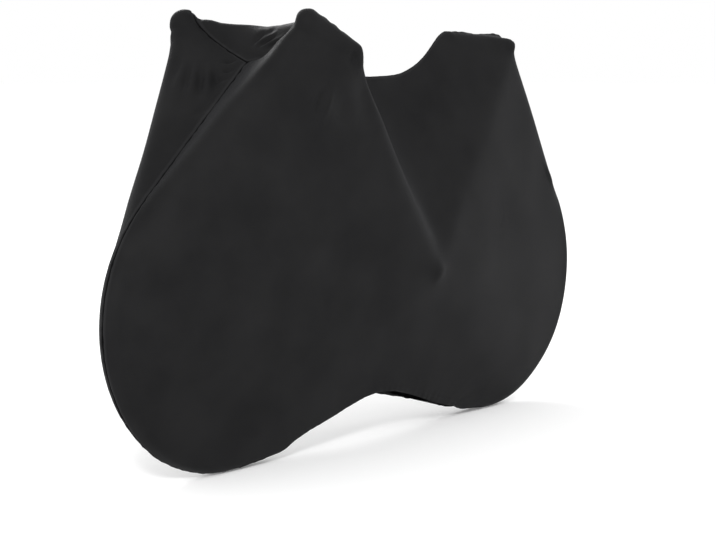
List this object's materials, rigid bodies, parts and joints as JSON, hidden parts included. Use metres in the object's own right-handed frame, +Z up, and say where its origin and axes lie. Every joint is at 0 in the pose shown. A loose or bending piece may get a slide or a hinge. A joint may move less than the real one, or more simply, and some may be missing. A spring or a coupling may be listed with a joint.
{
  "type": "fitted bicycle cover",
  "caption": "Fitted stretch cover in the shape of the bicycle under it: two side panels drawn taut over wheels, saddle and bar ends, a gusset between the grips and an open hemmed bottom.",
  "frame": {"origin": "on the ground under the middle of the cover's box, midway between the two wheels", "axes": "+Z up; X along the bicycle with the front wheel towards -X; -Y is the near side"},
  "size_m": [1.6857, 0.4998, 1.0416],
  "materials": {
    "knit_near": "black fine knit, soft sheen",
    "knit_far": "black fine knit, soft sheen",
    "knit_gusset": "black fine knit, soft sheen"
  },
  "bodies": {
    "root": {"panel_near": "knit_near", "panel_far": "knit_far", "handlebar_gusset": "knit_gusset"}
  },
  "joints": []
}
